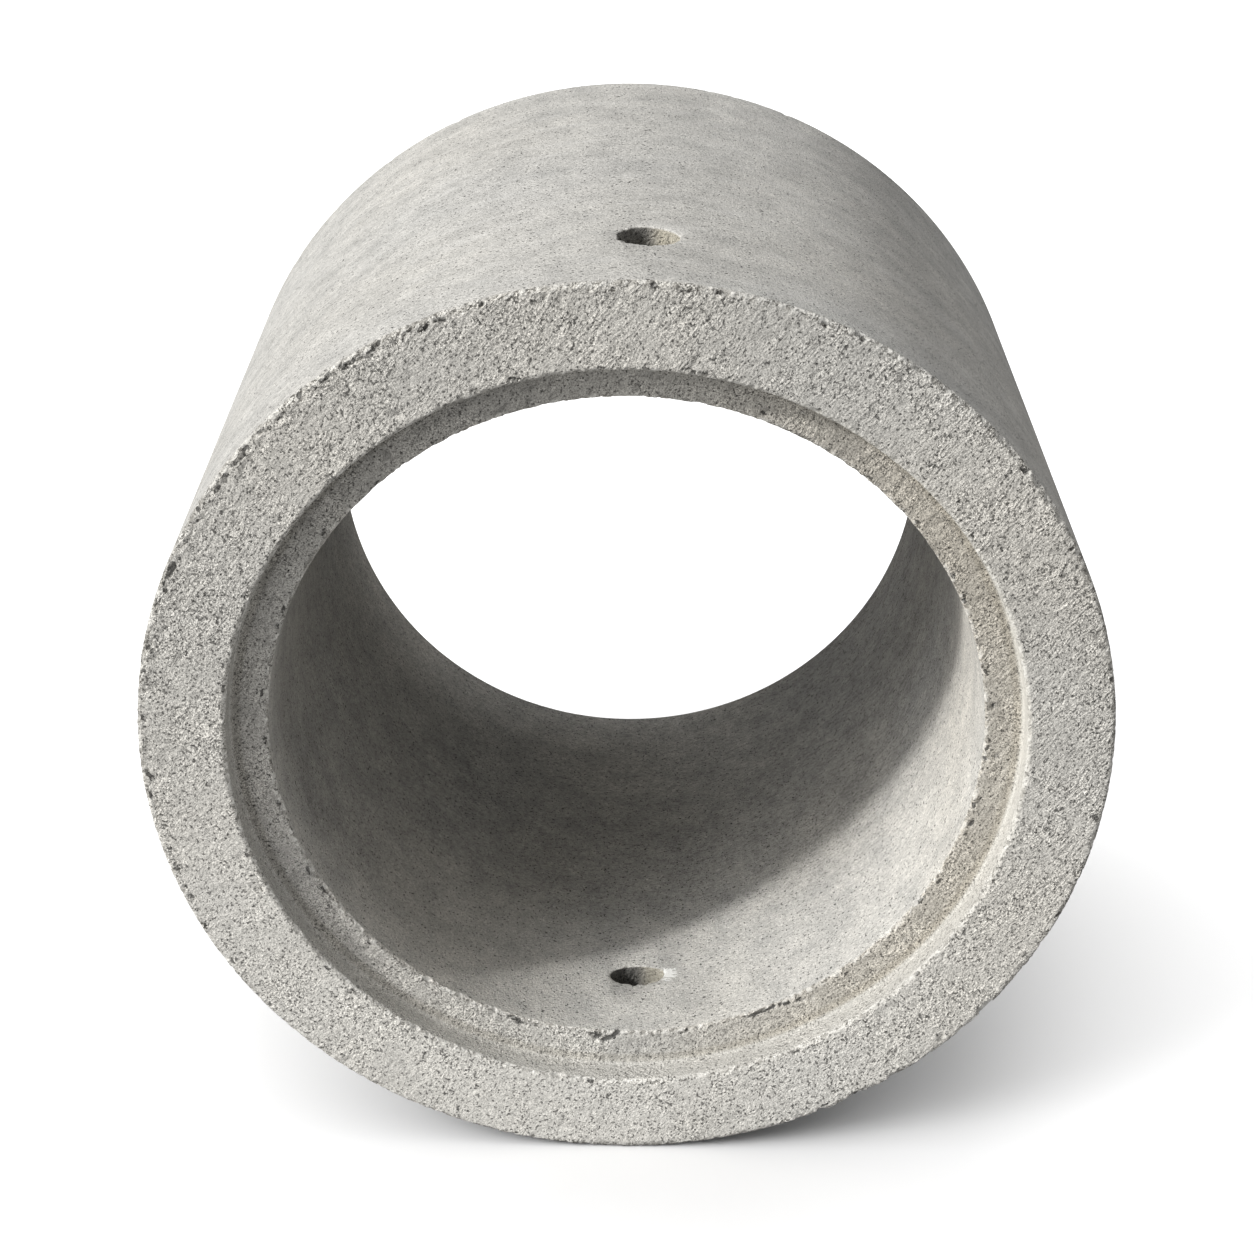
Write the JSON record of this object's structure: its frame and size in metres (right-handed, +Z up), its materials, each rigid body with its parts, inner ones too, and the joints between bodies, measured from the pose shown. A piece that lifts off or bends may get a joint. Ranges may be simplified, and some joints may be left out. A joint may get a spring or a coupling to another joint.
{
  "type": "precast concrete manhole riser",
  "caption": "Cast concrete ring with a straight clear bore, a rebate around the bore at one end, a plain far end and lifting holes through the wall.",
  "frame": {"origin": "on the floor plane, midway along the ring and under its axis, where the barrel touches the floor", "axes": "+Z up, ring axis along Y, rebated end facing -Y, plain end facing +Y"},
  "size_m": [0.81, 0.63, 0.81],
  "materials": {
    "concrete": "light grey cast concrete: formed barrel and bore with small air holes, rough struck rebated end"
  },
  "bodies": {
    "root": {"riser_ring": "concrete"}
  },
  "joints": []
}
